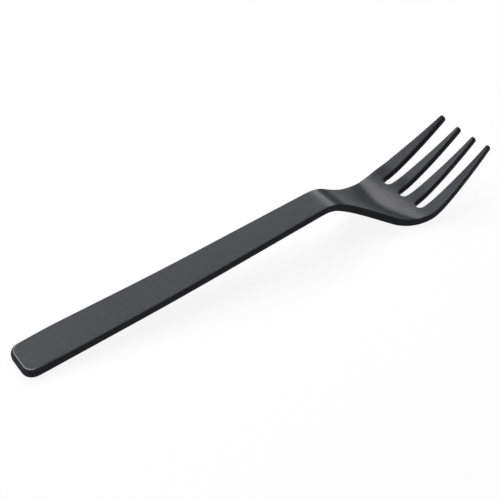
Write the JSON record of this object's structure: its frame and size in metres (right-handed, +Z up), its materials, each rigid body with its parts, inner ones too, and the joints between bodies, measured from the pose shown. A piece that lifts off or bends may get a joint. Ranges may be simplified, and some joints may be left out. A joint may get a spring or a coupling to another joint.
{
  "type": "finger food fork",
  "caption": "Small fork pressed from black coated sheet steel, with a long flat handle, a cranked neck, a shallow bowl and slim tapered tines, for picking up finger food.",
  "frame": {"origin": "middle of the fork's box, on the table that the fork lies on", "axes": "+X from the handle's end towards the tines, +Y to the left of the hand that holds it, +Z up from the table"},
  "size_m": [0.12, 0.0202, 0.0146],
  "materials": {
    "black_coating": "matte to satin black coating on steel"
  },
  "bodies": {
    "root": {"handle": "black_coating", "neck": "black_coating", "bowl": "black_coating", "tine_outer_left": "black_coating", "tine_inner_left": "black_coating", "tine_inner_right": "black_coating", "tine_outer_right": "black_coating"}
  },
  "joints": []
}
